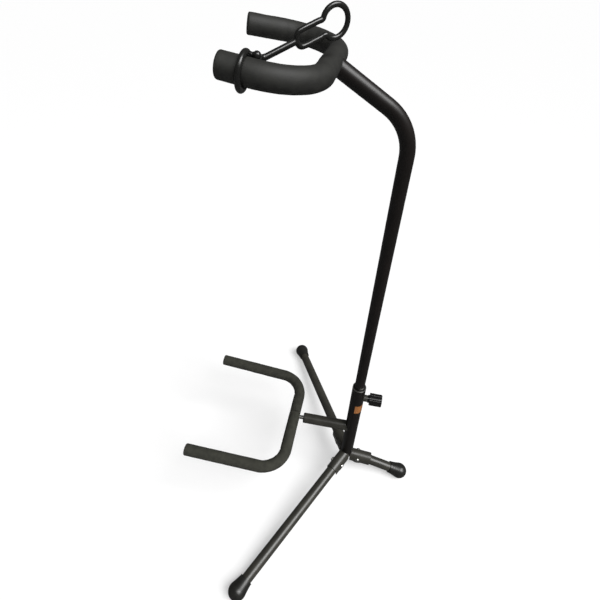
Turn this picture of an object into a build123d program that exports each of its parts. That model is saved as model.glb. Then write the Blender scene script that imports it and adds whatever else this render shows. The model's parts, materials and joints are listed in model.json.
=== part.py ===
from build123d import *
from math import acos, atan2, cos, degrees, radians, sin, sqrt, tan
import os

# Tripod guitar stand made of round steel tube, with a foam-covered cradle for the
# guitar's body and a foam-covered yoke, closed by a rubber strap, for its neck.
#
# Frame: +Z up, floor at Z = 0, the guitar stands on the -Y side, the short rear leg
# points to +Y. "Right" is +X. All sizes are in millimetres and degrees.

os.makedirs("parts", exist_ok=True)

# ---------------------------------------------------------------- driving dimensions
# Steel tubes and rods
mast_d = 16.0
mast_wall = 1.5
base_tube_d = 22.0
base_tube_wall = 1.5
leg_d = 18.0
leg_wall = 1.2
arm_d = 18.5
arm_wall = 1.5
rod_d = 9.0
stem_d = 7.0

# Heights on the mast's axis
base_tube_bottom = 48.0
base_tube_top = 255.0
hub_height = 48.0
arm_height = 136.5
knob_height = 228.0
mast_bottom = 120.0
mast_bend_height = 641.0

# Mast
mast_bend_r = 57.0
mast_bend_angle = 57.5
mast_straight = 65.5
mast_turn = 9.0

# Neck yoke
yoke_mouth = 155.0
yoke_reach = 86.0
yoke_bend_r = 46.0
yoke_toe_in = 10.9
yoke_slew = 9.1
yoke_tilt = 8.9
foam_d = 20.0

# Body cradle
arm_reach = 88.5
arm_tilt = -1.7
cradle_gap = 17.5
cradle_offset = 12.0
cradle_mouth = 199.0
cradle_reach = 165.0
cradle_bend_r = 41.0
cradle_toe_in = -1.4
cradle_tilt = 4.5
cradle_seam = 6.0

# Legs, feet and their brackets
front_leg_angle = 61.5
front_foot_r = 295.0
rear_foot_r = 107.0
front_pivot_r = 30.0
rear_pivot_r = 23.0
foot_ball_d = 29.0
foot_ball_height = 13.8
foot_mouth_d = 22.0
foot_neck = 19.0
foot_bulge = 104.0
foot_lip = 2.0
bracket_reach = 47.0
bracket_sheet = 1.5
bracket_depth = 8.0
ear_r = 11.0
rivet_d = 6.0
rivet_head_d = 9.0
rivet_head_h = 1.8
rivet_head_taper = 30.0

# Height clamp
boss_d = 11.5
boss_length = 5.5
boss_edge_r = 1.0
screw_d = 8.0
pad_d = 7.0
pad_thickness = 1.4
knob_d = 20.5
knob_length = 20.0
knob_neck_d = 13.0
knob_neck = 3.0
knob_edge_r = 1.2
screw_in_knob = 12.0
screw_chamfer = 0.8
flute_count = 8
flute_d = 5.0
flute_depth = 1.3

# Plastic inserts
bushing_length = 40.0
bushing_recess = 1.0
plug_flange_d = 24.5
plug_flange = 2.5
plug_spigot = 12.0
plug_wall = 2.5
glide_ring_length = 12.0
bead_d = 17.6
bead_length = 4.0
cap_flange = 3.0
cap_spigot = 12.0
guide_length = 8.0
guide_depth = 42.0
stem_tail = 8.0
tip_cap_d = 13.0
tip_cap_wall = 1.5
tip_cap_length = 14.0
tip_cap_recess = 1.5

# Sticker on the base tube
label_height = 20.0
label_bottom = 195.0
label_thickness = 0.2
label_start = -6.0
label_sweep = 86.0

# Strap
strap_d = 4.6
strap_ring_setback = 20.0
strap_yaw = 60.0
strap_rise = 27.0
strap_bead_r = 3.6
strap_bead_lean = 85.0
strap_bead_out = 0.4
strap_thickness = 4.0
strap_bar = 40.5
strap_slot = 24.5
strap_slot_half = 5.8
finger_ring_r = 11.2

# Clearances
weld_gap = 0.05
insert_gap = 0.05
running_gap = 0.06
pivot_gap = 0.05
slide_gap = 0.10
leg_gap = 0.3
foam_gap = 0.25
soft_gap = 0.3
seat_gap = 0.3
bracket_gap = 3.0

# ---------------------------------------------------------------- derived places
tip_lean = acos(cos(radians(cradle_toe_in)) * cos(radians(cradle_tilt)))
prong_extent = cradle_reach * cos(radians(cradle_tilt)) + foam_d / 2 * sin(tip_lean)
front_extent = (arm_reach + cradle_gap) * cos(radians(arm_tilt)) + prong_extent
rear_extent = rear_foot_r + foot_ball_d / 2
mast_y = (front_extent - rear_extent) / 2


def on_axis(height):
    """Point on the mast's axis."""
    return Vector(0, mast_y, height)


def heading(angle):
    """Level unit vector, turned by angle from straight ahead towards +X."""
    return Vector(sin(radians(angle)), -cos(radians(angle)), 0)


def side_plane(origin, angle, tilt=0):
    """Upright plane: x runs outward along the heading and up by tilt, y is its upward
    normal in the same upright plane."""
    out = heading(angle)
    x_dir = out * cos(radians(tilt)) + Vector(0, 0, sin(radians(tilt)))
    return Plane(origin=origin, x_dir=x_dir, z_dir=out.cross(Vector(0, 0, 1)))


def fork_plane(origin, angle, tilt):
    """Plane of a U-shaped fork: y runs forward and up by tilt, x to the left."""
    out = heading(angle)
    y_dir = out * cos(radians(tilt)) + Vector(0, 0, sin(radians(tilt)))
    x_dir = out.cross(Vector(0, 0, 1))
    return Plane(origin=origin, x_dir=x_dir, z_dir=x_dir.cross(y_dir))


def fork_path(plane, mouth, reach, toe_in, bend_r, slew=0, recess=0):
    """Centre line of a fork, from its left tip round the crossbar to its right tip. The
    crossbar runs through the plane's origin and is turned in the plane by slew; recess
    shortens both prongs."""
    toe, turn = radians(toe_in), radians(slew)
    across = Vector(cos(turn), -sin(turn))
    prongs = []
    for side in (1, -1):
        tip = Vector(side * mouth / 2, reach)
        back = Vector(side * sin(toe), -cos(toe))
        lean = toe + side * turn
        corner = tip + back * (reach * cos(turn) + side * mouth / 2 * sin(turn)) / cos(lean)
        setback = bend_r * (1 + sin(lean)) / cos(lean)
        bend_start = corner - back * setback
        bend_centre = bend_start - Vector(side * cos(toe), sin(toe)) * bend_r
        bar_end = corner - across * side * setback
        prongs.append([(place.X, place.Y) for place in (tip + back * recess, bend_start, bend_centre,
                                                        bar_end)])
    left_tip, left_bend, left_centre, bar_left = prongs[0]
    right_tip, right_bend, right_centre, bar_right = prongs[1]
    with BuildLine(plane) as path:
        Line(left_tip, left_bend)
        CenterArc(left_centre, bend_r, toe_in, -90 - toe_in - slew)
        Line(bar_left, bar_right)
        CenterArc(right_centre, bend_r, 270 - slew, -90 - toe_in + slew)
        Line(right_bend, right_tip)
    return path.wire()


def finish(builder, name):
    """Labels a finished piece and writes its file."""
    builder.part.label = name
    export_step(builder.part, f"parts/{name}.step")


# ---------------------------------------------------------------- base tube and inserts
base_bore_d = base_tube_d - 2 * base_tube_wall
knob_axis = Plane(origin=on_axis(knob_height), x_dir=(1, 0, 0), z_dir=(0, 1, 0))

with BuildPart() as base_tube:
    with BuildSketch(Plane(on_axis(base_tube_bottom))):
        Circle(base_tube_d / 2)
        Circle(base_bore_d / 2, mode=Mode.SUBTRACT)
    extrude(amount=base_tube_top - base_tube_bottom)
    with BuildSketch(knob_axis):
        Circle(screw_d / 2 + running_gap)
    extrude(amount=base_tube_d, mode=Mode.SUBTRACT)
finish(base_tube, "base_tube")

# Guide bushing in the mouth of the base tube, with a window for the clamp's pad.
with BuildPart() as mast_bushing:
    with BuildSketch(Plane(on_axis(base_tube_top - bushing_length))):
        Circle(base_bore_d / 2 - insert_gap)
        Circle(mast_d / 2 + slide_gap, mode=Mode.SUBTRACT)
    extrude(amount=bushing_length - bushing_recess)
    with BuildSketch(knob_axis):
        Circle(screw_d / 2 + leg_gap)
    extrude(amount=base_tube_d, mode=Mode.SUBTRACT)
finish(mast_bushing, "mast_bushing")

# Plug that closes the lower end of the base tube.
with BuildPart() as base_plug:
    with BuildSketch(Plane(on_axis(base_tube_bottom - plug_flange))):
        Circle(plug_flange_d / 2)
    extrude(amount=plug_flange)
    fillet(base_plug.edges().group_by(Axis.Z)[0], radius=plug_flange / 3)
    with BuildSketch(Plane(on_axis(base_tube_bottom))):
        Circle(base_bore_d / 2 - insert_gap)
        Circle(base_bore_d / 2 - insert_gap - plug_wall, mode=Mode.SUBTRACT)
    extrude(amount=plug_spigot)
finish(base_plug, "base_plug")

# Sticker, left plain.
with BuildPart() as tube_label:
    label_inner = base_tube_d / 2 + weld_gap
    label_outer = label_inner + label_thickness
    with BuildSketch(Plane(on_axis(label_bottom))):
        with BuildLine():
            inner_arc = CenterArc((0, 0), label_inner, label_start, label_sweep)
            outer_arc = CenterArc((0, 0), label_outer, label_start, label_sweep)
            Line(inner_arc @ 0, outer_arc @ 0)
            Line(inner_arc @ 1, outer_arc @ 1)
        make_face()
    extrude(amount=label_height)
finish(tube_label, "tube_label")

# ---------------------------------------------------------------- legs
foot_r = foot_ball_d / 2
legs = {
    "right": (front_leg_angle, front_foot_r, front_pivot_r),
    "left": (-front_leg_angle, front_foot_r, front_pivot_r),
    "rear": (180, rear_foot_r, rear_pivot_r),
}
leg_drop = hub_height - foot_ball_height
bracket_slope = degrees(atan2(leg_drop, front_foot_r))
cheek_inner = leg_d / 2 + leg_gap
cheek_outer = cheek_inner + bracket_sheet
wedge_half = radians(min(front_leg_angle, (180 - front_leg_angle) / 2))


def make_bracket(name, pivot, angle, pivot_r):
    """Pressed channel, open below, welded to the base tube; its rounded top is the
    stop of the leg. Two ears hold the rivet."""
    channel = side_plane(pivot, angle, -bracket_slope)
    inner_x = -pivot_r / cos(radians(bracket_slope))
    outer_x = (bracket_reach - pivot_r) / cos(radians(bracket_slope))
    inner_end = channel.from_local_coords((inner_x, 0))
    profile = Plane(origin=inner_end, x_dir=channel.z_dir, z_dir=channel.x_dir)
    far = 2 * bracket_reach
    with BuildPart() as bracket:
        with BuildSketch(profile):
            Circle(cheek_outer)
            Rectangle(far, far, align=(Align.CENTER, Align.MIN), mode=Mode.SUBTRACT)
            Rectangle(2 * cheek_outer, bracket_depth, align=(Align.CENTER, Align.MIN))
        extrude(amount=outer_x - inner_x)
        with BuildSketch(channel):
            Circle(ear_r)
            Rectangle(far, far, align=(Align.CENTER, Align.MIN), mode=Mode.SUBTRACT)
        extrude(amount=cheek_outer, both=True)
        with BuildSketch(profile):
            Circle(cheek_inner)
            Rectangle(2 * cheek_inner, 2 * ear_r, align=(Align.CENTER, Align.MIN))
        extrude(amount=far, mode=Mode.SUBTRACT)
        with BuildSketch(channel):
            Circle(rivet_d / 2 + pivot_gap)
        extrude(amount=2 * cheek_outer, both=True, mode=Mode.SUBTRACT)
        with BuildSketch(Plane(on_axis(0))):
            Circle(base_tube_d / 2 + weld_gap)
        extrude(amount=base_tube_top, mode=Mode.SUBTRACT)
        with BuildSketch(Plane(on_axis(0))):
            Circle(plug_flange_d / 2 + insert_gap)
        extrude(amount=base_tube_bottom + weld_gap, mode=Mode.SUBTRACT)
        with BuildSketch(Plane(on_axis(0), x_dir=heading(angle))):
            apex = bracket_gap / 2 / sin(wedge_half)
            wedge_width = (far - apex) * tan(wedge_half)
            Polygon((apex, 0), (far, -wedge_width), (far, wedge_width), align=None)
        extrude(amount=base_tube_top, mode=Mode.INTERSECT)
    finish(bracket, f"leg_bracket_{name}")


def make_leg(name, pivot, axis_plane, length):
    """Leg tube with a rounded tail that turns under the channel, bored for its rivet."""
    tail = leg_d / 2
    start = Plane(origin=axis_plane.from_local_coords((-tail, 0)), x_dir=axis_plane.z_dir,
                  z_dir=axis_plane.x_dir)
    with BuildPart() as leg:
        with BuildSketch(start):
            Circle(leg_d / 2)
            Circle(leg_d / 2 - leg_wall, mode=Mode.SUBTRACT)
        extrude(amount=tail + length)
        with BuildSketch(axis_plane):
            Rectangle(tail, leg_d, align=(Align.MAX, Align.MIN))
            Circle(tail, mode=Mode.SUBTRACT)
        revolve(axis=Axis(pivot, axis_plane.x_dir), mode=Mode.SUBTRACT)
        with BuildSketch(axis_plane):
            Circle(rivet_d / 2 + pivot_gap)
        extrude(amount=leg_d, both=True, mode=Mode.SUBTRACT)
    finish(leg, f"leg_{name}")


def make_foot(name, ball):
    """Rubber foot: a barrel that swells from its lip into a ball, with a small flat where
    it stands."""
    mouth = (-foot_neck, foot_mouth_d / 2)
    lip_end = -foot_neck - foot_lip
    bulge_turn = radians(foot_bulge)
    bulge = (foot_r * cos(bulge_turn), foot_r * sin(bulge_turn))
    with BuildPart() as foot:
        with BuildSketch(ball):
            with BuildLine():
                Line((lip_end, 0), (lip_end, foot_mouth_d / 2))
                Line((lip_end, foot_mouth_d / 2), mouth)
                TangentArc(bulge, mouth, tangent=(-sin(bulge_turn), cos(bulge_turn)))
                CenterArc((0, 0), foot_r, 0, foot_bulge)
                Line((foot_r, 0), (lip_end, 0))
            make_face()
        revolve(axis=Axis(ball.origin, ball.x_dir))
        with BuildSketch(Plane(origin=ball.origin, x_dir=ball.z_dir, z_dir=ball.x_dir * -1)):
            Circle(leg_d / 2 + insert_gap)
        extrude(amount=2 * foot_neck, mode=Mode.SUBTRACT)
        split(bisect_by=Plane.XY, keep=Keep.TOP)
    finish(foot, f"foot_{name}")


rivet_planes = []
for name, (angle, ball_r, pivot_r) in legs.items():
    out = heading(angle)
    slope = degrees(atan2(leg_drop, ball_r))
    pivot = on_axis(hub_height - leg_drop * pivot_r / ball_r) + out * pivot_r
    ball_centre = on_axis(foot_ball_height) + out * ball_r
    axis_plane = side_plane(pivot, angle, -slope)
    leg_length = (ball_centre - pivot).length
    make_bracket(name, pivot, angle, pivot_r)
    make_leg(name, pivot, axis_plane, leg_length - seat_gap)
    make_foot(name, side_plane(ball_centre, angle, -slope))
    rivet_planes.append(axis_plane)

with BuildPart() as leg_rivets:
    for axis_plane in rivet_planes:
        with BuildSketch(axis_plane):
            Circle(rivet_d / 2)
        extrude(amount=cheek_outer + weld_gap, both=True)
        for side in (-1, 1):
            head_plane = axis_plane.offset(side * (cheek_outer + weld_gap))
            with BuildSketch(head_plane):
                Circle(rivet_head_d / 2)
            extrude(amount=side * rivet_head_h, taper=rivet_head_taper)
finish(leg_rivets, "leg_rivets")

# ---------------------------------------------------------------- cradle arm and cradle
arm_axis = side_plane(on_axis(arm_height), 0, arm_tilt)
arm_bore_d = arm_d - 2 * arm_wall


def arm_section(distance):
    """Plane square to the arm at a distance from the mast's axis, facing outward."""
    return Plane(origin=arm_axis.from_local_coords((distance, 0)), x_dir=arm_axis.z_dir,
                 z_dir=arm_axis.x_dir)


with BuildPart() as cradle_arm:
    with BuildSketch(arm_section(0)):
        Circle(arm_d / 2)
        Circle(arm_bore_d / 2, mode=Mode.SUBTRACT)
    extrude(amount=arm_reach - cap_flange)
    with BuildSketch(Plane(on_axis(base_tube_bottom))):
        Circle(base_tube_d / 2 + weld_gap)
    extrude(amount=base_tube_top - base_tube_bottom, mode=Mode.SUBTRACT)
finish(cradle_arm, "cradle_arm")

# Plastic cap in the arm's mouth; the cradle's stem turns in its bore.
with BuildPart() as arm_cap:
    with BuildSketch(arm_section(arm_reach - cap_flange)):
        Circle(arm_d / 2)
    extrude(amount=cap_flange)
    fillet(arm_cap.edges().group_by(Axis.Y)[0], radius=cap_flange / 2)
    with BuildSketch(arm_section(arm_reach - cap_flange)):
        Circle(arm_bore_d / 2 - insert_gap)
    extrude(amount=-cap_spigot)
    with BuildSketch(arm_section(arm_reach)):
        Circle(stem_d / 2 + running_gap)
    extrude(amount=-(cap_flange + cap_spigot), mode=Mode.SUBTRACT)
finish(arm_cap, "arm_cap")

with BuildPart() as arm_guide:
    with BuildSketch(arm_section(arm_reach - guide_depth)):
        Circle(arm_bore_d / 2 - insert_gap)
        Circle(stem_d / 2 + running_gap, mode=Mode.SUBTRACT)
    extrude(amount=-guide_length)
finish(arm_guide, "arm_guide")

cradle_apex = arm_axis.from_local_coords((arm_reach + cradle_gap, 0))
cradle_plane = fork_plane(cradle_apex + Vector(cradle_offset, 0, 0), 0, cradle_tilt)
tip_recess = tip_cap_wall + tip_cap_recess
cradle_shape = (cradle_plane, cradle_mouth, cradle_reach, cradle_toe_in, cradle_bend_r)
cradle_rod_path = fork_path(*cradle_shape, recess=tip_recess)
cradle_foam_path = fork_path(*cradle_shape)


def start_plane(path):
    """Plane square to the path's start, facing along the path."""
    return Plane(origin=path @ 0, z_dir=path % 0)


def end_plane(path):
    """Plane square to the path's end, facing back along the path."""
    return Plane(origin=path @ 1, z_dir=(path % 1) * -1)


with BuildPart() as cradle_rod:
    with BuildSketch(start_plane(cradle_rod_path)):
        Circle(rod_d / 2)
    sweep(path=cradle_rod_path)
finish(cradle_rod, "cradle_rod")

with BuildPart() as cradle_stem:
    with BuildSketch(arm_section(arm_reach + cradle_gap)):
        Circle(stem_d / 2)
    extrude(amount=-(cradle_gap + guide_depth + guide_length + stem_tail))
    with BuildSketch(Plane(origin=cradle_apex, x_dir=(0, 1, 0), z_dir=(1, 0, 0))):
        Circle(rod_d / 2 + weld_gap)
    extrude(amount=stem_d, both=True, mode=Mode.SUBTRACT)
finish(cradle_stem, "cradle_stem")


def foam_tube(path, port_plane, port_d):
    """Foam tube along a fork, with counterbores for the tip caps and a port where the
    rod's support comes in."""
    with BuildPart() as foam:
        with BuildSketch(start_plane(path)):
            Circle(foam_d / 2)
            Circle(rod_d / 2 + foam_gap, mode=Mode.SUBTRACT)
        sweep(path=path)
        for mouth in (start_plane(path), end_plane(path)):
            with BuildSketch(mouth):
                Circle(tip_cap_d / 2 + foam_gap)
            extrude(amount=tip_recess - tip_cap_wall + tip_cap_length + foam_gap, mode=Mode.SUBTRACT)
        with BuildSketch(port_plane):
            Circle(port_d / 2 + soft_gap)
        extrude(amount=-foam_d, mode=Mode.SUBTRACT)
    return foam.part


cradle_foam = foam_tube(cradle_foam_path, arm_section(arm_reach + cradle_gap), stem_d)
seam_plane = Plane(origin=cradle_plane.from_local_coords((cradle_offset + cradle_seam, 0)),
                   z_dir=cradle_plane.x_dir)
for name, keep, side in (("left", Keep.TOP, 1), ("right", Keep.BOTTOM, -1)):
    with BuildPart() as cradle_sleeve:
        add(cradle_foam)
        split(bisect_by=seam_plane.offset(side * soft_gap / 2), keep=keep)
    finish(cradle_sleeve, f"cradle_sleeve_{name}")


def tip_caps(path):
    """Two vinyl cups, one over each end of a fork's rod."""
    with BuildPart() as caps:
        for mouth in (start_plane(path), end_plane(path)):
            with BuildSketch(mouth.offset(tip_recess - tip_cap_wall - insert_gap)):
                Circle(tip_cap_d / 2)
            extrude(amount=tip_cap_length)
            with BuildSketch(mouth.offset(tip_recess - insert_gap)):
                Circle(rod_d / 2 + insert_gap)
            extrude(amount=tip_cap_length, mode=Mode.SUBTRACT)
    return caps


finish(tip_caps(cradle_foam_path), "cradle_tip_caps")

# ---------------------------------------------------------------- mast
mast_side = side_plane(on_axis(0), mast_turn)
bend_end = (mast_bend_r * (1 - cos(radians(mast_bend_angle))),
            mast_bend_height + mast_bend_r * sin(radians(mast_bend_angle)))
mast_end = (bend_end[0] + mast_straight * sin(radians(mast_bend_angle)),
            bend_end[1] + mast_straight * cos(radians(mast_bend_angle)))
yoke_apex = mast_side.from_local_coords(mast_end)
yoke_plane = fork_plane(yoke_apex, mast_turn, yoke_tilt)
yoke_bar_dir = (yoke_plane.x_dir * cos(radians(yoke_slew))
                - yoke_plane.y_dir * sin(radians(yoke_slew)))

with BuildLine(mast_side) as mast_line:
    Line((0, mast_bottom), (0, mast_bend_height))
    CenterArc((mast_bend_r, mast_bend_height), mast_bend_r, 180, -mast_bend_angle)
    Line(bend_end, mast_end)
mast_path = mast_line.wire()
ring_bottom = mast_bottom + seat_gap
bead_bottom = ring_bottom + glide_ring_length + seat_gap

with BuildPart() as mast_tube:
    with BuildSketch(start_plane(mast_path)):
        Circle(mast_d / 2)
    sweep(path=mast_path)
    with BuildSketch(Plane(on_axis(bead_bottom))):
        Circle(bead_d / 2)
    extrude(amount=bead_length)
    with BuildSketch(start_plane(mast_path)):
        Circle(mast_d / 2 - mast_wall)
    sweep(path=mast_path, mode=Mode.SUBTRACT)
    with BuildSketch(Plane(origin=yoke_apex, x_dir=yoke_plane.z_dir, z_dir=yoke_bar_dir)):
        Circle(rod_d / 2 + weld_gap)
    extrude(amount=mast_d, both=True, mode=Mode.SUBTRACT)
finish(mast_tube, "mast_tube")

# Glide ring that rides in the base tube and lets the mast turn.
with BuildPart() as glide_ring:
    with BuildSketch(Plane(on_axis(ring_bottom))):
        Circle(base_bore_d / 2 - slide_gap)
        Circle(mast_d / 2 + running_gap, mode=Mode.SUBTRACT)
    extrude(amount=glide_ring_length)
finish(glide_ring, "glide_ring")

with BuildPart() as mast_plug:
    with BuildSketch(Plane(on_axis(mast_bottom))):
        Circle(bead_d / 2)
    extrude(amount=-plug_flange)
    with BuildSketch(Plane(on_axis(mast_bottom))):
        Circle(mast_d / 2 - mast_wall - insert_gap)
    extrude(amount=plug_spigot)
finish(mast_plug, "mast_plug")

# ---------------------------------------------------------------- yoke
yoke_shape = (yoke_plane, yoke_mouth, yoke_reach, yoke_toe_in, yoke_bend_r, yoke_slew)
yoke_rod_path = fork_path(*yoke_shape, recess=tip_recess)
yoke_foam_path = fork_path(*yoke_shape)

with BuildPart() as yoke_rod:
    with BuildSketch(start_plane(yoke_rod_path)):
        Circle(rod_d / 2)
    sweep(path=yoke_rod_path)
finish(yoke_rod, "yoke_rod")

mast_end_plane = Plane(origin=mast_path @ 1, z_dir=mast_path % 1)
with BuildPart() as yoke_sleeve:
    add(foam_tube(yoke_foam_path, mast_end_plane, mast_d))
finish(yoke_sleeve, "yoke_sleeve")
finish(tip_caps(yoke_foam_path), "yoke_tip_caps")

# ---------------------------------------------------------------- height clamp
boss_face = base_tube_d / 2 + boss_length
pad_back = mast_d / 2 + seat_gap + pad_thickness

with BuildPart() as clamp_boss:
    with BuildSketch(knob_axis):
        Circle(boss_d / 2)
    extrude(amount=boss_face)
    fillet(clamp_boss.edges().group_by(Axis.Y)[-1], radius=boss_edge_r)
    with BuildSketch(Plane(on_axis(base_tube_bottom))):
        Circle(base_tube_d / 2 + weld_gap)
    extrude(amount=base_tube_top - base_tube_bottom, mode=Mode.SUBTRACT)
    with BuildSketch(knob_axis):
        Circle(screw_d / 2 + running_gap)
    extrude(amount=2 * boss_face, mode=Mode.SUBTRACT)
finish(clamp_boss, "clamp_boss")

with BuildPart() as clamp_pad:
    with BuildSketch(knob_axis.offset(pad_back - pad_thickness)):
        Circle(pad_d / 2)
    extrude(amount=pad_thickness)
finish(clamp_pad, "clamp_pad")

knob_start = boss_face + seat_gap
screw_end = knob_start + knob_neck + screw_in_knob

with BuildPart() as clamp_screw:
    with BuildSketch(knob_axis.offset(pad_back + weld_gap)):
        Circle(screw_d / 2)
    extrude(amount=screw_end - pad_back - weld_gap)
    chamfer(clamp_screw.edges().group_by(Axis.Y)[0], length=screw_chamfer)
finish(clamp_screw, "clamp_screw")

with BuildPart() as clamp_knob:
    with BuildSketch(knob_axis.offset(knob_start)):
        Circle(knob_neck_d / 2)
    extrude(amount=knob_neck)
    with BuildSketch(knob_axis.offset(knob_start + knob_neck)):
        Circle(knob_d / 2)
        with PolarLocations(knob_d / 2 + flute_d / 2 - flute_depth, flute_count):
            Circle(flute_d / 2, mode=Mode.SUBTRACT)
    extrude(amount=knob_length)
    fillet(clamp_knob.faces().sort_by(Axis.Y)[-1].edges(), radius=knob_edge_r)
    with BuildSketch(knob_axis.offset(knob_start)):
        Circle(screw_d / 2 + weld_gap)
    extrude(amount=screw_end - knob_start + weld_gap, mode=Mode.SUBTRACT)
finish(clamp_knob, "clamp_knob")

# ---------------------------------------------------------------- security strap
# The strap's ring sits round the right prong; its bar and the slot that opens into the
# finger ring lie in one upright plane that runs back from the ring's bead over the yoke.
strap_ring_plane = end_plane(yoke_foam_path).offset(strap_ring_setback)
strap_ring_r = foam_d / 2 + soft_gap + strap_d / 2
strap_up = yoke_plane.z_dir
strap_inward = strap_up.cross(strap_ring_plane.z_dir)
strap_heading = yoke_plane.x_dir * cos(radians(strap_yaw)) - yoke_plane.y_dir * sin(radians(strap_yaw))
strap_dir = strap_heading * cos(radians(strap_rise)) + strap_up * sin(radians(strap_rise))
bead_dir = strap_up * cos(radians(strap_bead_lean)) + strap_inward * sin(radians(strap_bead_lean))
bead_centre = (strap_ring_plane.origin
               + bead_dir * (foam_d / 2 + soft_gap + strap_bead_r + strap_bead_out))
strap_plane = Plane(origin=bead_centre, x_dir=strap_dir, z_dir=strap_dir.cross(strap_up))
finger_centre = strap_bar + strap_slot + sqrt(finger_ring_r**2 - strap_slot_half**2)
slot_length = finger_centre - strap_bar
slot_middle = strap_bar + slot_length / 2

with BuildPart() as security_strap:
    with BuildSketch(Plane(origin=strap_ring_plane.origin + strap_up * strap_ring_r,
                           x_dir=strap_up, z_dir=strap_inward)):
        Circle(strap_d / 2)
    revolve(axis=Axis(strap_ring_plane.origin, strap_ring_plane.z_dir))
    with Locations(Plane(bead_centre)):
        Sphere(strap_bead_r)
    with BuildSketch(strap_plane):
        Rectangle(strap_bar, strap_d, align=(Align.MIN, Align.CENTER))
        with Locations((finger_centre, 0)):
            Circle(finger_ring_r + strap_d / 2)
        with Locations((slot_middle, 0)):
            RectangleRounded(slot_length + strap_d, 2 * strap_slot_half + strap_d, strap_d)
            RectangleRounded(slot_length - strap_d, 2 * strap_slot_half - strap_d, strap_d / 2,
                             mode=Mode.SUBTRACT)
        with Locations((finger_centre, 0)):
            Circle(finger_ring_r - strap_d / 2, mode=Mode.SUBTRACT)
    extrude(amount=strap_thickness / 2, both=True)
finish(security_strap, "security_strap")
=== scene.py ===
import json
from math import atan2, cos, pi, radians, sin

import bpy
from mathutils import Matrix, Vector, noise


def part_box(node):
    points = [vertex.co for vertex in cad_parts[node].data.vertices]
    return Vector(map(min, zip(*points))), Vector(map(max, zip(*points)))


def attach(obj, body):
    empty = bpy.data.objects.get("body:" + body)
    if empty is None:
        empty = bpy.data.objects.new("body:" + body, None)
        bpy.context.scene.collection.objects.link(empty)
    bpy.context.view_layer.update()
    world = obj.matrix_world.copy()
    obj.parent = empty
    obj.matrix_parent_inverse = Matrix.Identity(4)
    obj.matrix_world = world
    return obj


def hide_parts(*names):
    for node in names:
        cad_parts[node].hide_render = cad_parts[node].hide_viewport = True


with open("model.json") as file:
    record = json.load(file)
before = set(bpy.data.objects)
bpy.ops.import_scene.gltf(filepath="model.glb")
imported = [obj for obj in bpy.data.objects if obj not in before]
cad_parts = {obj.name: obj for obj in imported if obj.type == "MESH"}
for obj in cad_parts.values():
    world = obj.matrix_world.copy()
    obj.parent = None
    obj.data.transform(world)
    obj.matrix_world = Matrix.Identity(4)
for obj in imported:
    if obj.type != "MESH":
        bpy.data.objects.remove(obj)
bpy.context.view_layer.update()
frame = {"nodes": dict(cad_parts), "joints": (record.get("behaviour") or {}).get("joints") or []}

MM = 0.001

# ------------------------------------------------------------------ sizes of the stand, mm
foam_r = 10.0
foam_edge_r = 1.8
seam_edge_r = 1.0
rod_r = 4.5
cap_bore_r = 6.75
cap_bore_depth = 10.0
ring_spacing = 2.5
tube_sides = 48
edge_steps = 5
least_bend_steps = 6
smooth_angle = 35.0

# The foam's surface: the size and height of its long and short swellings, and the depth of
# its creases, the arc for one radian of their ripple, and how far and how fast it wanders.
long_swell, long_swell_height = 16.0, 0.22
short_swell, short_swell_height = 6.0, 0.10
crease_depth = 0.45
crease_arc = 2.1
crease_wander, crease_wander_size = 2.2, 9.0

yoke = dict(mouth=155.0, reach=86.0, bend_r=46.0, toe_in=10.9, slew=9.1, heading=9.0,
            tilt=8.9)
cradle = dict(mouth=199.0, reach=165.0, bend_r=41.0, toe_in=-1.4, slew=0.0, heading=0.0,
              tilt=4.5)
cradle_offset = 12.0
cradle_seam = 18.0
seam_gap = 0.3

strap_r = 2.3
strap_ring_setback = 20.0
strap_clearance = 0.3
strap_bead_r = 3.6
strap_bead_lean = 85.0
strap_bead_out = 0.4
strap_yaw = 60.0
strap_rise = 27.0
strap_bar = 40.5
slot_half = 5.8
slot_end = 65.0
finger_ring_r = 11.2
finger_ring_middle = 74.6
ring_turns = 24
arc_turns = 20

# Radii of the strap's sections.
ring_section_r = 2.5
bar_section_r = 2.45
neck_section_r = 1.9
keyhole_section_r = 2.2
knuckle_r = 3.3
# Round the prong: lean, radius and place along it, in degrees and mm.
neck_start_lean = 40.0
neck_bend = (36.0, 12.9, 3.5)
knuckle_place = (38.0, 13.2, 6.5)
# In the strap's plane: along it and above its middle.
neck_lead = ((11.0, 1.2), (16.0, 0.3))
bar_knots = (0.0, 10.0, 20.0, 30.0)
slot_lead = 4.0
slot_sides = (55.0, 47.0)
slot_shoulder, slot_shoulder_in = 43.0, 0.8
slot_root_past, slot_root_in = 0.6, 3.0
strap_curve_steps = 16
strap_section_steps = 6
bump_segments, bump_rings = 24, 16
strap_voxel = 0.45
strap_smoothing, strap_smoothing_turns = 0.5, 8


# ------------------------------------------------------------------ helpers for modelling
def select_only(*things):
    """Selects these objects and nothing else; the last one is the active one."""
    fresh()
    for thing in things:
        thing.select_set(True)
    bpy.context.view_layer.objects.active = things[-1]


def fresh():
    """Goes to object mode and deselects everything, before a new primitive is added."""
    if bpy.context.object and bpy.context.object.mode != "OBJECT":
        bpy.ops.object.mode_set(mode="OBJECT")
    bpy.ops.object.select_all(action="DESELECT")


def settle(thing, name, place):
    """Names a piece and puts its place into its mesh."""
    select_only(thing)
    thing.name = name
    thing.data.name = name
    thing.matrix_world = place
    bpy.ops.object.transform_apply(location=True, rotation=True, scale=True)
    return thing


def apply_modifiers(thing):
    """Applies all the modifiers of a piece in their order."""
    select_only(thing)
    for modifier in list(thing.modifiers):
        bpy.ops.object.modifier_apply(modifier=modifier.name)


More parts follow.
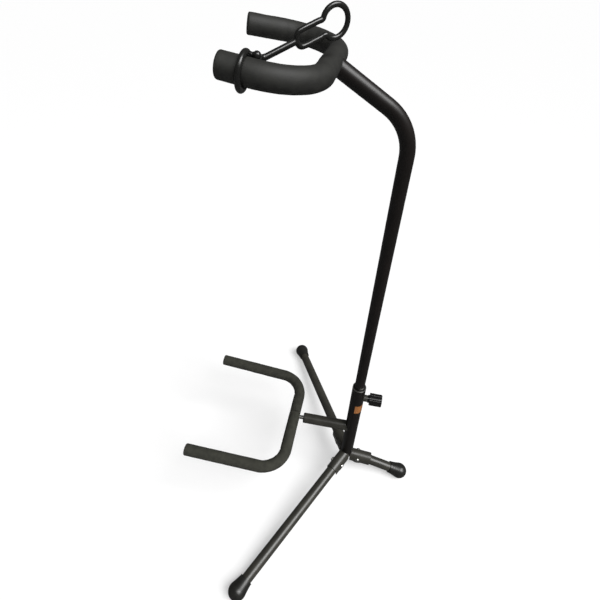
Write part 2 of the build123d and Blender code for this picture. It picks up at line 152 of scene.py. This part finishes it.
def fork_turn(fork):
    """Turn of a fork's plane: x to the left, y forward and up by its tilt, z its normal."""
    heading, tilt = radians(fork["heading"]), radians(fork["tilt"])
    left = Vector((-cos(heading), -sin(heading), 0))
    forward = Vector((sin(heading) * cos(tilt), -cos(heading) * cos(tilt), sin(tilt)))
    return Matrix((left, forward, left.cross(forward))).transposed()


def fork_points(fork, side):
    """Tip of a prong, the way back from it, the bend's near end and middle, the crossbar's
    near end, the way along the crossbar and the bend's angle, all in the fork's plane with
    the crossbar through the origin. Side is 1 left, -1 right."""
    bend_r, toe, slew = fork["bend_r"] * MM, radians(fork["toe_in"]), radians(fork["slew"])
    reach, half = fork["reach"] * MM, side * fork["mouth"] / 2 * MM
    lean = toe + side * slew
    tip = Vector((half, reach, 0))
    back = Vector((side * sin(toe), -cos(toe), 0))
    along = Vector((-cos(slew), sin(slew), 0)) * side
    corner = tip + back * (reach * cos(slew) + half * sin(slew)) / cos(lean)
    setback = bend_r * (1 + sin(lean)) / cos(lean)
    bend = corner - back * setback
    centre = bend - Vector((side * cos(toe), sin(toe), 0)) * bend_r
    return tip, back, bend, centre, corner + along * setback, along, pi / 2 + lean


def fork_place(fork, middle):
    """Matrix that puts a piece made in the fork's plane in its place."""
    return Matrix.Translation(middle) @ fork_turn(fork).to_4x4()


# ------------------------------------------------------------------ foam sleeves
def extrude(step):
    """Extrudes the selected ring by a step."""
    bpy.ops.mesh.extrude_region_move(TRANSFORM_OT_translate={"value": step})


def rescale(factor, centre):
    """Scales the selected ring about a centre."""
    bpy.ops.transform.resize(value=(factor, factor, factor), center_override=centre)


def run(direction, length):
    """Extrudes the selected ring along a straight stretch in short steps."""
    steps = max(1, round(length / (ring_spacing * MM)))
    for _ in range(steps):
        extrude(direction * length / steps)


def spin(centre, angle, radius):
    """Spins the selected ring round a bend of the fork."""
    steps = max(least_bend_steps, round(abs(angle) * radius / (ring_spacing * MM)))
    bpy.ops.mesh.spin(steps=steps, dupli=False, angle=angle, center=centre, axis=(0, 0, 1))


def round_edge(centre, direction, edge_r, closing):
    """Turns the selected ring over the foam's rounded edge: from the wall to the end face
    when closing, otherwise from the end face to the wall."""
    for k in range(edge_steps):
        a, b = k * pi / 2 / edge_steps, (k + 1) * pi / 2 / edge_steps
        if closing:
            rise, old, new = sin(b) - sin(a), 1 - cos(a), 1 - cos(b)
        else:
            rise, old, new = cos(a) - cos(b), 1 - sin(a), 1 - sin(b)
        extrude(direction * rise * edge_r)
        centre = centre + direction * rise * edge_r
        rescale((foam_r * MM - new * edge_r) / (foam_r * MM - old * edge_r), centre)
    return centre


def foam_sleeve(fork, side, seam=None):
    """Foam tube over a fork's rod, made in the fork's plane. It starts at the tip on one
    side and ends at a seam that far to the left of the middle, or at the other tip."""
    tip, back, bend, centre, bar, along, angle = fork_points(fork, side)
    edge, bend_r = foam_edge_r * MM, fork["bend_r"] * MM
    fresh()
    bpy.ops.mesh.primitive_circle_add(
        vertices=tube_sides, radius=cap_bore_r * MM, location=tip + back * cap_bore_depth * MM,
        rotation=Vector((0, 0, 1)).rotation_difference(-back).to_euler())
    sleeve = bpy.context.object
    bpy.ops.object.transform_apply(location=True, rotation=True, scale=True)
    bpy.ops.object.mode_set(mode="EDIT")
    bpy.ops.mesh.select_mode(type="EDGE")
    bpy.ops.mesh.select_all(action="SELECT")
    extrude(-back * cap_bore_depth * MM)
    extrude(Vector((0, 0, 0)))
    rescale((foam_r * MM - edge) / (cap_bore_r * MM), tip)
    round_edge(tip, back, edge, closing=False)
    run(back, (bend - tip).length - edge)
    spin(centre, side * angle, bend_r)
    if seam is None:
        (far_tip, far_back, far_bend, far_centre,
         far_bar, _, far_angle) = fork_points(fork, -side)
        run(along, (far_bar - bar).length)
        spin(far_centre, side * far_angle, bend_r)
        run(-far_back, (far_bend - far_tip).length - edge)
        end = round_edge(far_tip + far_back * edge, -far_back, edge, closing=True)
        extrude(Vector((0, 0, 0)))
        rescale((cap_bore_r * MM) / (foam_r * MM - edge), end)
        extrude(far_back * cap_bore_depth * MM)
    else:
        edge = seam_edge_r * MM
        length = abs(bar.x - seam * MM) - edge
        run(along, length)
        end = round_edge(bar + along * length, along, edge, closing=True)
        extrude(Vector((0, 0, 0)))
        rescale((rod_r * MM) / (foam_r * MM - edge), end)
    bpy.ops.mesh.select_all(action="SELECT")
    bpy.ops.mesh.fill_holes(sides=0)
    bpy.ops.mesh.normals_make_consistent(inside=False)
    bpy.ops.object.mode_set(mode="OBJECT")
    soften(sleeve, fork)
    bpy.ops.object.shade_smooth_by_angle(angle=radians(smooth_angle))
    return sleeve


def soften(sleeve, fork):
    """Foam swells and shrinks a little along its length, and creases lightly where it is
    pressed together on the inside of a bend."""
    bend_r = fork["bend_r"] * MM
    bends = [fork_points(fork, side) for side in (1, -1)]
    for vertex in sleeve.data.vertices:
        place, normal = vertex.co, vertex.normal
        swell = (noise.noise(place / (long_swell * MM)) * long_swell_height
                 + noise.noise(place / (short_swell * MM)) * short_swell_height)
        crease = 0.0
        for _, back, _, centre, _, along, _ in bends:
            spoke = place - centre
            past_prong, past_bar = spoke.dot(back), -spoke.dot(along)
            if past_prong > 0 and past_bar > 0:
                inner = max(0.0, -normal.dot(Vector((spoke.x, spoke.y, 0)).normalized()))
                bearing = Vector((spoke.x, spoke.y)).angle(Vector((0, -1)), 0.0)
                wander = crease_wander * noise.noise(place / (crease_wander_size * MM))
                ripple = 0.5 + 0.5 * sin(bearing * bend_r / (crease_arc * MM) + wander)
                crease = max(crease, inner ** 2 * ripple)
        vertex.co = place + normal * (swell - crease_depth * crease) * MM


joint_place = {joint["name"]: Vector(joint["pos_m"])
               for joint in frame["joints"] if joint.get("pos_m")}
right_tip, right_back = fork_points(yoke, -1)[:2]
strap_ring_centre = right_tip + right_back * strap_ring_setback * MM
yoke_middle = joint_place["strap_swing"] - fork_turn(yoke) @ strap_ring_centre
cradle_middle = joint_place["cradle_swivel"] + Vector((cradle_offset * MM, 0, 0))

yoke_foam = settle(foam_sleeve(yoke, 1), "yoke_foam", fork_place(yoke, yoke_middle))
cradle_foam_left = settle(foam_sleeve(cradle, 1, cradle_seam + seam_gap / 2),
                          "cradle_foam_left", fork_place(cradle, cradle_middle))
cradle_foam_right = settle(foam_sleeve(cradle, -1, cradle_seam - seam_gap / 2),
                           "cradle_foam_right", fork_place(cradle, cradle_middle))
for sleeve, body, node in ((yoke_foam, "mast", "yoke_sleeve"),
                           (cradle_foam_left, "cradle", "cradle_sleeve_left"),
                           (cradle_foam_right, "cradle", "cradle_sleeve_right")):
    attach(sleeve, body)
    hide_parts(node)


# ------------------------------------------------------------------ security strap
up = Vector((0, 0, 1))
strap_inward = up.cross(right_back)
strap_heading = Vector((cos(radians(strap_yaw)), -sin(radians(strap_yaw)), 0))
strap_way = strap_heading * cos(radians(strap_rise)) + up * sin(radians(strap_rise))
strap_over = up * cos(radians(strap_rise)) - strap_heading * sin(radians(strap_rise))


def round_prong(lean, radius, along=0.0):
    """Point round the right prong, by its lean inward from straight up; sizes in mm."""
    way = up * cos(radians(lean)) + strap_inward * sin(radians(lean))
    return strap_ring_centre + (way * radius + right_back * along) * MM


bead = round_prong(strap_bead_lean, foam_r + strap_clearance + strap_bead_r + strap_bead_out)


def strap_point(along, above):
    """Point in the strap's plane, in mm along it from the bead and above its middle."""
    return bead + (strap_way * along + strap_over * above) * MM


def strap_loop(points, closed, radius):
    """Round rubber section along smooth points of the strap."""
    fresh()
    bpy.ops.curve.primitive_bezier_curve_add()
    thing = bpy.context.object
    curve = thing.data
    curve.splines.clear()
    spline = curve.splines.new("BEZIER")
    spline.bezier_points.add(len(points) - 1)
    for knot, place in zip(spline.bezier_points, points):
        knot.co = place
        knot.handle_left_type = knot.handle_right_type = "AUTO"
    spline.use_cyclic_u = closed
    spline.resolution_u = strap_curve_steps
    curve.bevel_depth = radius * MM
    curve.bevel_resolution = strap_section_steps
    curve.use_fill_caps = True
    bpy.ops.object.convert(target="MESH")
    return bpy.context.object


def strap_bump(place, radius):
    """Round thickening of the strap."""
    fresh()
    bpy.ops.mesh.primitive_uv_sphere_add(segments=bump_segments, ring_count=bump_rings,
                                         radius=radius * MM, location=place)
    return bpy.context.object


ring_points = [round_prong(360 * k / ring_turns, foam_r + strap_clearance + strap_r)
               for k in range(ring_turns)]
arc_start = atan2(slot_half, slot_end - finger_ring_middle)
arc_angles = [arc_start * (1 - 2 * k / arc_turns) for k in range(arc_turns + 1)]
slot_start = slot_end - slot_lead
slot_side = [(slot_start, slot_half)] + [(along, slot_half) for along in slot_sides] + [
    (slot_shoulder, slot_half - slot_shoulder_in),
    (strap_bar + slot_root_past, slot_half - slot_root_in)]
keyhole = slot_side[:1]
keyhole += [(finger_ring_middle + finger_ring_r * cos(angle), finger_ring_r * sin(angle))
            for angle in arc_angles]
keyhole += [(along, -above) for along, above in slot_side]
keyhole += slot_side[:0:-1]
keyhole_points = [strap_point(along, above) for along, above in keyhole]
knuckle = round_prong(*knuckle_place)
neck_points = [round_prong(neck_start_lean, foam_r + strap_clearance + strap_r),
               round_prong(*neck_bend), knuckle]
neck_points += [strap_point(along, above) for along, above in neck_lead]
bar_points = [strap_point(along, 0) for along in (*bar_knots, strap_bar)]
loops = [strap_loop(ring_points, True, ring_section_r),
         strap_loop(bar_points, False, bar_section_r),
         strap_loop(neck_points, False, neck_section_r),
         strap_loop(keyhole_points, True, keyhole_section_r),
         strap_bump(bead, strap_bead_r), strap_bump(knuckle, knuckle_r)]
select_only(*loops)
bpy.ops.object.join()
security_strap = bpy.context.object
select_only(security_strap)
bpy.ops.object.transform_apply(location=True, rotation=True, scale=True)
remesh = security_strap.modifiers.new("moulding", "REMESH")
remesh.mode = "VOXEL"
remesh.voxel_size = strap_voxel * MM
smooth = security_strap.modifiers.new("fillets", "SMOOTH")
smooth.factor = strap_smoothing
smooth.iterations = strap_smoothing_turns
apply_modifiers(security_strap)
settle(security_strap, "rubber_strap", fork_place(yoke, yoke_middle))
bpy.ops.object.shade_smooth()
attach(security_strap, "strap")
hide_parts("security_strap")


# ------------------------------------------------------------------ materials
def colour(code):
    """Linear colour of an sRGB hex value."""
    channels = [int(code[i:i + 2], 16) / 255 for i in (1, 3, 5)]
    return [c / 12.92 if c <= 0.04045 else ((c + 0.055) / 1.055) ** 2.4
            for c in channels] + [1.0]


def add(tree, kind, values=None, links=None, **settings):
    """Adds a node with its settings, its input values and the links into it."""
    made = tree.nodes.new(kind)
    for key, value in settings.items():
        setattr(made, key, value)
    for name, value in (values or {}).items():
        made.inputs[name].default_value = value
    for name, source in (links or {}).items():
        tree.links.new(source, made.inputs[name])
    return made


def ramp(tree, source, stops):
    """Colour ramp between positions and colours."""
    made = add(tree, "ShaderNodeValToRGB", links={"Fac": source})
    elements = made.color_ramp.elements
    while len(elements) < len(stops):
        elements.new(0.5)
    for element, (position, code) in zip(elements, stops):
        element.position = position
        element.color = colour(code)
    return made.outputs["Color"]


def coated(name, low, high, patch, rough, rough_spread, grain, bump, shader):
    """Material with a colour that wanders between two near tones in patches of one size,
    a roughness that wanders with it, and a fine bump. Sizes are in mm."""
    material = bpy.data.materials.new(name)
    material.use_nodes = True
    tree = material.node_tree
    tree.nodes.clear()
    place = add(tree, "ShaderNodeTexCoord").outputs["Object"]
    blotch = add(tree, "ShaderNodeTexNoise",
                 {"Scale": 1 / (patch * MM), "Detail": 4.0, "Roughness": 0.55},
                 {"Vector": place})
    speck = add(tree, "ShaderNodeTexNoise",
                {"Scale": 1 / (grain * MM), "Detail": 3.0, "Roughness": 0.6},
                {"Vector": place})
    tone = ramp(tree, blotch.outputs["Fac"], ((0.30, low), (0.70, high)))
    gloss = add(tree, "ShaderNodeMapRange",
                {"To Min": rough - rough_spread, "To Max": rough + rough_spread},
                {"Value": blotch.outputs["Fac"]})
    relief = add(tree, "ShaderNodeBump", {"Strength": 1.0, "Distance": bump * MM},
                 {"Height": speck.outputs["Fac"]})
    body = add(tree, "ShaderNodeBsdfPrincipled", shader,
               {"Base Color": tone, "Roughness": gloss.outputs["Result"],
                "Normal": relief.outputs["Normal"]})
    add(tree, "ShaderNodeOutputMaterial", links={"Surface": body.outputs["BSDF"]})
    return material


def bare_rim(name, coat, height):
    """Copy of a coat that gives way to bare drawn steel above a height."""
    material = coat.copy()
    material.name = name
    tree = material.node_tree
    output = next(node for node in tree.nodes if node.type == "OUTPUT_MATERIAL")
    painted = output.inputs["Surface"].links[0].from_socket
    place = add(tree, "ShaderNodeTexCoord").outputs["Object"]
    level = add(tree, "ShaderNodeSeparateXYZ", links={"Vector": place}).outputs["Z"]
    above = add(tree, "ShaderNodeMath", {1: height}, {0: level}, operation="GREATER_THAN")
    steel = add(tree, "ShaderNodeBsdfPrincipled",
                {"Base Color": colour("#b4b3ae"), "Metallic": 1.0, "Roughness": 0.32})
    blend = add(tree, "ShaderNodeMixShader",
                links={0: above.outputs["Value"], 1: painted, 2: steel.outputs["BSDF"]})
    tree.links.new(blend.outputs["Shader"], output.inputs["Surface"])
    return material


# Black epoxy powder coat, sprayed and baked: brown-black, a soft gloss and orange peel.
powder_coat = coated("black_powder_coat", "#0a0604", "#110a07",
                     patch=30, rough=0.42, rough_spread=0.04,
                     grain=1.4, bump=0.012, shader={"Specular IOR Level": 0.5})
# The base tube's cut end is bare: the coat is worn off its rim.
rim_width = 0.6
rimmed_coat = bare_rim("powder_coat_with_bare_rim", powder_coat,
                       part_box("base_tube")[1][2] - rim_width * MM)
# Satin black enamel on the legs, brackets and arm: greyer and duller than the mast.
satin_enamel = coated("satin_black_enamel", "#2b2a26", "#383731",
                      patch=24, rough=0.36, rough_spread=0.05,
                      grain=1.0, bump=0.010, shader={"Specular IOR Level": 0.5})
# Closed-cell nitrile foam tube: charcoal with an olive cast, matte, with cut pores.
nitrile_foam = coated("closed_cell_nitrile_foam", "#2b2b26", "#393932",
                      patch=9, rough=0.86, rough_spread=0.05,
                      grain=0.7, bump=0.16, shader={"Specular IOR Level": 0.25})
# The same foam on the yoke, with painted shade: a darker copy of the cradle's foam.
painted_shade_foam = coated("nitrile_foam_painted_shade", "#141411", "#1f1f1b",
                   patch=9, rough=0.66, rough_spread=0.06,
                   grain=0.7, bump=0.16, shader={"Specular IOR Level": 0.55})
# Moulded thermoplastic rubber of the strap: black with a soft sheen from the mould.
strap_rubber = coated("moulded_strap_rubber", "#131312", "#1b1b19",
                      patch=12, rough=0.27, rough_spread=0.05,
                      grain=0.8, bump=0.010, shader={"Specular IOR Level": 0.5})
# Moulded natural rubber of the feet: black, slightly glossy where it is clean.
foot_rubber = coated("moulded_foot_rubber", "#171715", "#21211f",
                     patch=10, rough=0.36, rough_spread=0.06,
                     grain=0.9, bump=0.014, shader={"Specular IOR Level": 0.5})
# Bright zinc plate over drawn steel.
zinc_plate = coated("bright_zinc_plate", "#b9b9b4", "#d2d2ce",
                    patch=6, rough=0.30, rough_spread=0.08,
                    grain=0.6, bump=0.006, shader={"Metallic": 1.0})
# Black polypropylene of plugs, bushing and guide.
polypropylene = coated("black_polypropylene", "#161616", "#1e1e1d",
                       patch=14, rough=0.52, rough_spread=0.05,
                       grain=0.8, bump=0.008, shader={"Specular IOR Level": 0.5})
# Glossy black ABS of the knob.
knob_abs = coated("gloss_black_abs", "#0f0f0f", "#161615",
                  patch=10, rough=0.22, rough_spread=0.04,
                  grain=1.0, bump=0.006, shader={"Specular IOR Level": 0.5})
# Dipped black vinyl of the rod's tip caps.
dipped_vinyl = coated("dipped_black_vinyl", "#181817", "#201f1e",
                      patch=8, rough=0.40, rough_spread=0.05,
                      grain=0.8, bump=0.008, shader={"Specular IOR Level": 0.5})
# Plain copper-orange polyester sticker.
copper_sticker = coated("copper_orange_sticker", "#8d5523", "#a26830",
                        patch=5, rough=0.42, rough_spread=0.05,
                        grain=0.8, bump=0.004, shader={"Specular IOR Level": 0.5})

dressing = {
    powder_coat: ("mast_tube",),
    rimmed_coat: ("base_tube",),
    satin_enamel: ("leg_bracket_right", "leg_bracket_left", "leg_bracket_rear",
                   "leg_right", "leg_left", "leg_rear", "cradle_arm", "clamp_boss"),
    nitrile_foam: ("cradle_foam_left", "cradle_foam_right"),
    # The yoke's foam carries painted shade: a darker copy of the cradle's foam.
    painted_shade_foam: ("yoke_foam",),
    strap_rubber: ("rubber_strap",),
    foot_rubber: ("foot_right", "foot_left", "foot_rear"),
    zinc_plate: ("leg_rivets", "cradle_rod", "cradle_stem", "yoke_rod", "clamp_screw"),
    polypropylene: ("mast_bushing", "base_plug", "glide_ring", "mast_plug", "arm_cap",
                    "arm_guide", "clamp_pad"),
    knob_abs: ("clamp_knob",),
    dipped_vinyl: ("cradle_tip_caps", "yoke_tip_caps"),
    copper_sticker: ("tube_label",),
}
for material, names in dressing.items():
    for name in names:
        thing = frame["nodes"].get(name) or bpy.data.objects[name]
        thing.data.materials.clear()
        thing.data.materials.append(material)

# ------------------------------------------------------------------ stage, light and camera
white = (1.0, 1.0, 1.0, 1.0)
floor_size = 60.0
floor_white = (0.94, 0.94, 0.94, 1.0)
floor_glow_share = 0.5
floor_mirror_glow = 0.12
ambient = 0.11
panel_energy, panel_angle = 3.75, 38.0
panel_from = Vector((0.2, 0.6, 0.78))
strip_energy, strip_sides = 9.0, (0.9, 0.35)
strip_place, strip_aim = Vector((0.9, 0.5, 2.1)), Vector((0, 0, 0.3))
camera_azimuth, camera_elevation, camera_roll = 100.32, 42.47, 2.17
camera_x, camera_past_mast, camera_height = 0.4265, -0.0258, 0.8211
camera_lens, camera_sensor, camera_near = 25.47, 36.0, 0.05

fresh()
bpy.ops.mesh.primitive_plane_add(size=floor_size, location=(0, 0, 0))
floor = bpy.context.object
floor.name = "floor"
# White paper: it takes the shadow, part of it is always white to the camera, and a
# glossy surface sees it dimmed, so that the black tubes don't turn grey.
paper = bpy.data.materials.new("white_paper_floor")
paper.use_nodes = True
tree = paper.node_tree
tree.nodes.clear()
matte = add(tree, "ShaderNodeBsdfDiffuse", {"Color": floor_white})
glow = add(tree, "ShaderNodeEmission", {"Color": white, "Strength": 1.0})
rays = add(tree, "ShaderNodeLightPath")
share = add(tree, "ShaderNodeMath", {1: floor_glow_share}, {0: rays.outputs["Is Camera Ray"]},
            operation="MULTIPLY")
blend = add(tree, "ShaderNodeMixShader",
            links={"Fac": share.outputs["Value"], 1: matte.outputs["BSDF"],
                   2: glow.outputs["Emission"]})
dim = add(tree, "ShaderNodeEmission", {"Color": white, "Strength": floor_mirror_glow})
mirrored = add(tree, "ShaderNodeMixShader",
               links={"Fac": rays.outputs["Is Glossy Ray"], 1: blend.outputs["Shader"],
                      2: dim.outputs["Emission"]})
add(tree, "ShaderNodeOutputMaterial", links={"Surface": mirrored.outputs["Shader"]})
floor.data.materials.append(paper)

# The surroundings are white to the camera and light the stand only dimly.
world = bpy.data.worlds.new("studio")
bpy.context.scene.world = world
world.use_nodes = True
sky = world.node_tree.nodes["Background"]
sky.inputs["Color"].default_value = white
seen = add(world.node_tree, "ShaderNodeLightPath")
sky_glow = add(world.node_tree, "ShaderNodeMath", {1: 1.0 - ambient, 2: ambient},
               {0: seen.outputs["Is Camera Ray"]}, operation="MULTIPLY_ADD")
world.node_tree.links.new(sky_glow.outputs["Value"], sky.inputs["Strength"])

panel = bpy.data.lights.new("overhead_panel", "SUN")
panel.energy = panel_energy
panel.angle = radians(panel_angle)
overhead_panel = bpy.data.objects.new("overhead_panel", panel)
bpy.context.scene.collection.objects.link(overhead_panel)
overhead_panel.rotation_euler = panel_from.to_track_quat("Z", "Y").to_euler()
strip = bpy.data.lights.new("strip_softbox", "AREA")
strip.shape = "RECTANGLE"
strip.size, strip.size_y = strip_sides
strip.energy = strip_energy
strip_softbox = bpy.data.objects.new("strip_softbox", strip)
bpy.context.scene.collection.objects.link(strip_softbox)
strip_softbox.location = strip_place
strip_softbox.rotation_euler = (strip_place - strip_aim).to_track_quat("Z", "Y").to_euler()

azimuth, elevation, roll = map(radians, (camera_azimuth, camera_elevation, camera_roll))
right = Vector((cos(azimuth), sin(azimuth), 0))
back = Vector((sin(azimuth) * cos(elevation), -cos(azimuth) * cos(elevation), sin(elevation)))
over = back.cross(right)
rolled_right = right * cos(roll) + over * sin(roll)
rolled_over = over * cos(roll) - right * sin(roll)
lens = bpy.data.cameras.new("camera")
lens.sensor_width = camera_sensor
lens.lens = camera_lens
lens.clip_start = camera_near
camera = bpy.data.objects.new("camera", lens)
bpy.context.scene.collection.objects.link(camera)
camera_place = Vector((camera_x, joint_place["mast_turn"].y + camera_past_mast, camera_height))
camera.matrix_world = Matrix.Translation(camera_place) @ Matrix(
    (rolled_right, rolled_over, back)).transposed().to_4x4()
bpy.context.scene.camera = camera
bpy.context.scene.view_settings.view_transform = "Standard"
